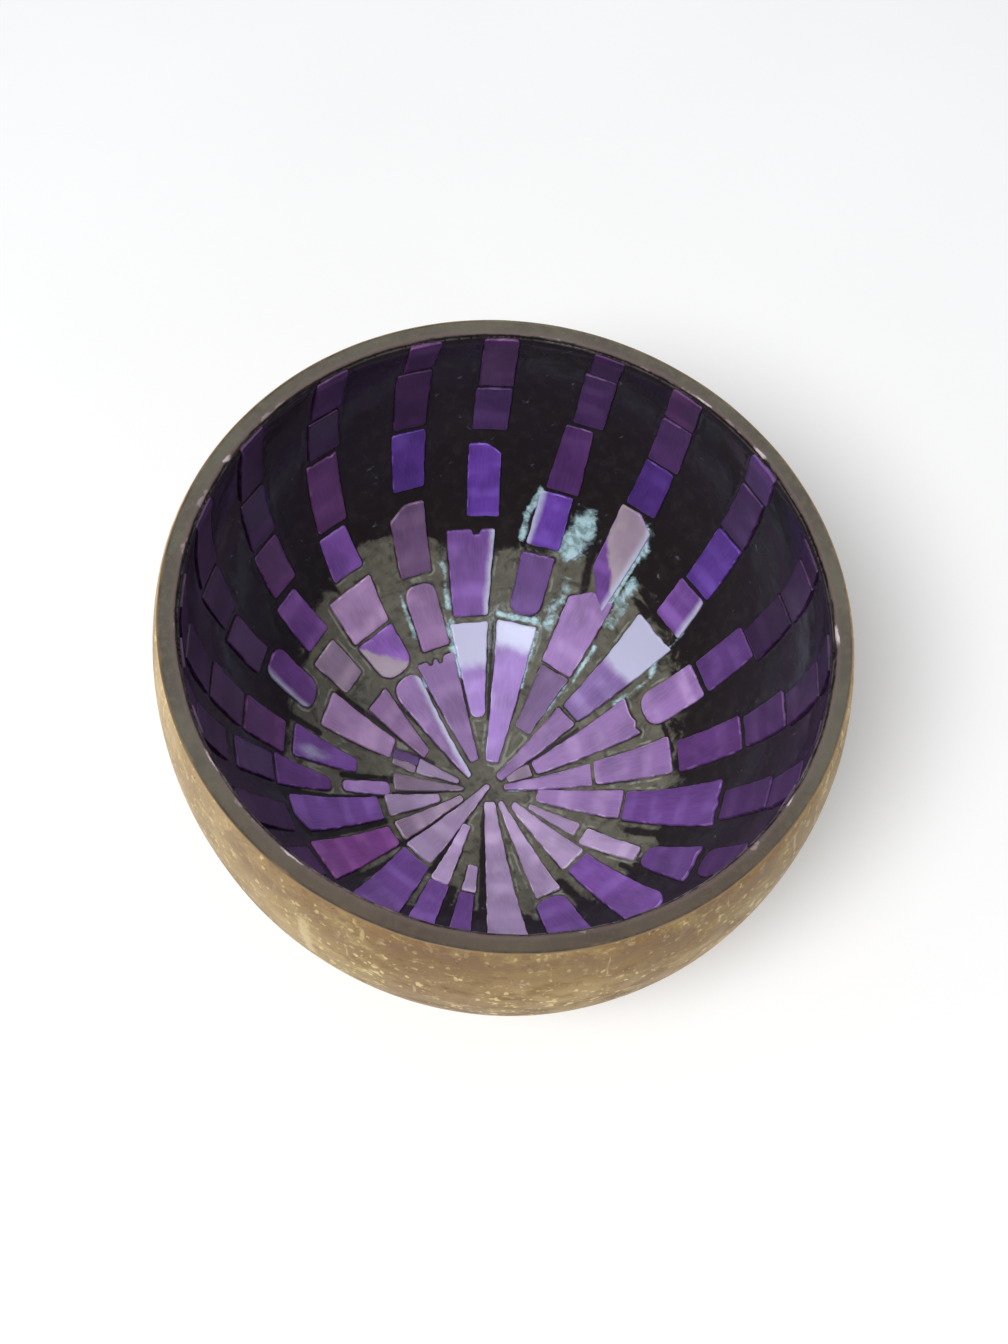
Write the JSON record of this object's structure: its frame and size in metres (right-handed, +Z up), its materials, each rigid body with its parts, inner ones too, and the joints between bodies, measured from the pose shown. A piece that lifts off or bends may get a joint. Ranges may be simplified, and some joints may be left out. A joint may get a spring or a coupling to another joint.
{
  "type": "coconut shell bowl",
  "caption": "Deep round bowl made of a half coconut shell, lined with black lacquer and a star of purple mother-of-pearl tiles.",
  "frame": {"origin": "on the floor, under the middle of the bowl's widest ring; the small sanded foot lies 3 mm beside it because the nut leans a little", "axes": "+Z up out of the bowl's mouth; +X to the right and +Y away from the viewer as the picture shows the bowl"},
  "size_m": [0.1222, 0.129, 0.075],
  "materials": {
    "coconut_shell": "polished coconut shell, brown with golden fibre flecks, oiled to a soft sheen",
    "black_lacquer": "glossy black lacquer, hand laid and a little lumpy",
    "lilac_pearl": "dyed mother-of-pearl, lilac, under clear gloss",
    "violet_pearl": "dyed mother-of-pearl, deep violet, under clear gloss"
  },
  "bodies": {
    "root": {"coconut_shell": "coconut_shell", "lacquer_lining": "black_lacquer", "star_petals_01": "lilac_pearl", "star_petals_02": "lilac_pearl", "star_petals_03": "lilac_pearl", "star_petals_04": "lilac_pearl", "star_petals_05": "lilac_pearl", "star_petals_06": "lilac_pearl", "star_petals_07": "lilac_pearl", "star_petals_08": "lilac_pearl", "star_petals_09": "lilac_pearl", "star_petals_10": "lilac_pearl", "star_petals_11": "lilac_pearl", "star_petals_12": "lilac_pearl", "star_petals_13": "lilac_pearl", "star_petals_14": "lilac_pearl", "star_petals_15": "lilac_pearl", "star_petals_16": "lilac_pearl", "star_petals_17": "lilac_pearl", "star_petals_18": "lilac_pearl", "star_petals_19": "lilac_pearl", "star_petals_20": "lilac_pearl", "star_petals_21": "lilac_pearl", "star_petals_22": "lilac_pearl", "wall_tiles_01": "violet_pearl", "wall_tiles_02": "violet_pearl", "wall_tiles_03": "violet_pearl", "wall_tiles_04": "violet_pearl", "wall_tiles_05": "violet_pearl", "wall_tiles_06": "violet_pearl", "wall_tiles_07": "violet_pearl", "wall_tiles_08": "violet_pearl", "wall_tiles_09": "violet_pearl", "wall_tiles_10": "violet_pearl", "wall_tiles_11": "violet_pearl", "wall_tiles_12": "violet_pearl", "wall_tiles_13": "violet_pearl", "wall_tiles_14": "violet_pearl", "wall_tiles_15": "violet_pearl", "wall_tiles_16": "violet_pearl", "wall_tiles_17": "violet_pearl", "wall_tiles_18": "violet_pearl", "wall_tiles_19": "violet_pearl", "wall_tiles_20": "violet_pearl", "wall_tiles_21": "violet_pearl", "wall_tiles_22": "violet_pearl"}
  },
  "joints": []
}
